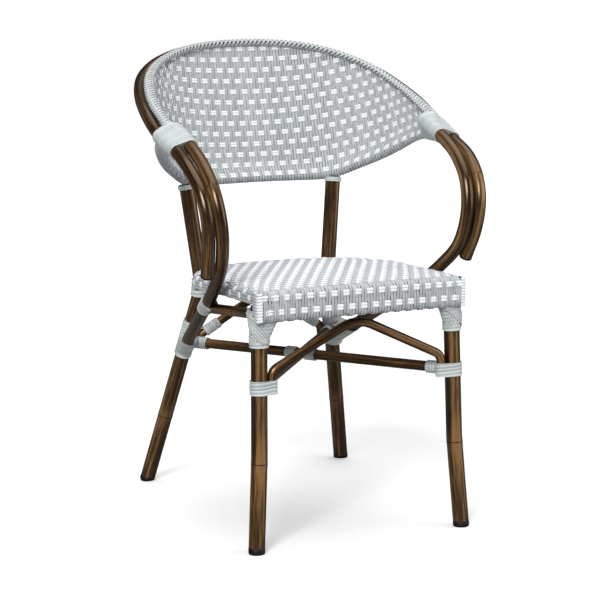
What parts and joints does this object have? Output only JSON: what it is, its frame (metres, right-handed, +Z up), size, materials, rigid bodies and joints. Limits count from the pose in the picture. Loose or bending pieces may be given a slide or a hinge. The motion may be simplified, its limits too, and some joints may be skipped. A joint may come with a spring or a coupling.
{
  "type": "rattan bistro armchair",
  "caption": "Bistro armchair with a bent bamboo-look tube frame, curved arms, arched bracing, woven seat and woven barrel back.",
  "frame": {"origin": "floor level, at the middle of the chair's bounding box", "axes": "+Z up, -Y the way a sitter faces, +X to the sitter's left"},
  "size_m": [0.5668, 0.562, 0.8388],
  "materials": {
    "bamboo_paint": "satin, brown with golden lengthwise streaks",
    "grey_strand": "satin extruded strand",
    "weave": "satin strands, light grey with white squares",
    "black_plastic": "matte"
  },
  "bodies": {
    "root": {"leg_front_left": "bamboo_paint", "foot_front_left": "black_plastic", "leg_rear_left": "bamboo_paint", "foot_rear_left": "black_plastic", "arm_inner_left": "bamboo_paint", "rail_side_left": "bamboo_paint", "cap_arm_left": "black_plastic", "leg_front_right": "bamboo_paint", "foot_front_right": "black_plastic", "leg_rear_right": "bamboo_paint", "foot_rear_right": "black_plastic", "arm_inner_right": "bamboo_paint", "rail_side_right": "bamboo_paint", "cap_arm_right": "black_plastic", "hoop": "bamboo_paint", "rail_front": "bamboo_paint", "rail_rear": "bamboo_paint", "arch_front": "bamboo_paint", "arch_rear": "bamboo_paint", "stretcher_whole": "bamboo_paint", "stretcher_half_rear": "bamboo_paint", "stretcher_half_front": "bamboo_paint", "rail_back": "bamboo_paint", "weave_back": "weave", "braid_rim": "grey_strand", "weave_seat": "weave", "seat_frame": "bamboo_paint", "lash_knee_left": "grey_strand", "lash_arch_left": "grey_strand", "lash_seat_left": "grey_strand", "lash_joint_left": "grey_strand", "lash_collar_left": "grey_strand", "lash_arm_left": "grey_strand", "lash_side_left": "grey_strand", "lash_stretcher_front_left": "grey_strand", "lash_stretcher_rear_left": "grey_strand", "lash_slope_left": "grey_strand", "lash_knee_right": "grey_strand", "lash_arch_right": "grey_strand", "lash_seat_right": "grey_strand", "lash_joint_right": "grey_strand", "lash_collar_right": "grey_strand", "lash_arm_right": "grey_strand", "lash_side_right": "grey_strand", "lash_stretcher_front_right": "grey_strand", "lash_stretcher_rear_right": "grey_strand", "lash_slope_right": "grey_strand", "lash_middle_rear": "grey_strand", "lash_middle_front": "grey_strand"}
  },
  "joints": []
}
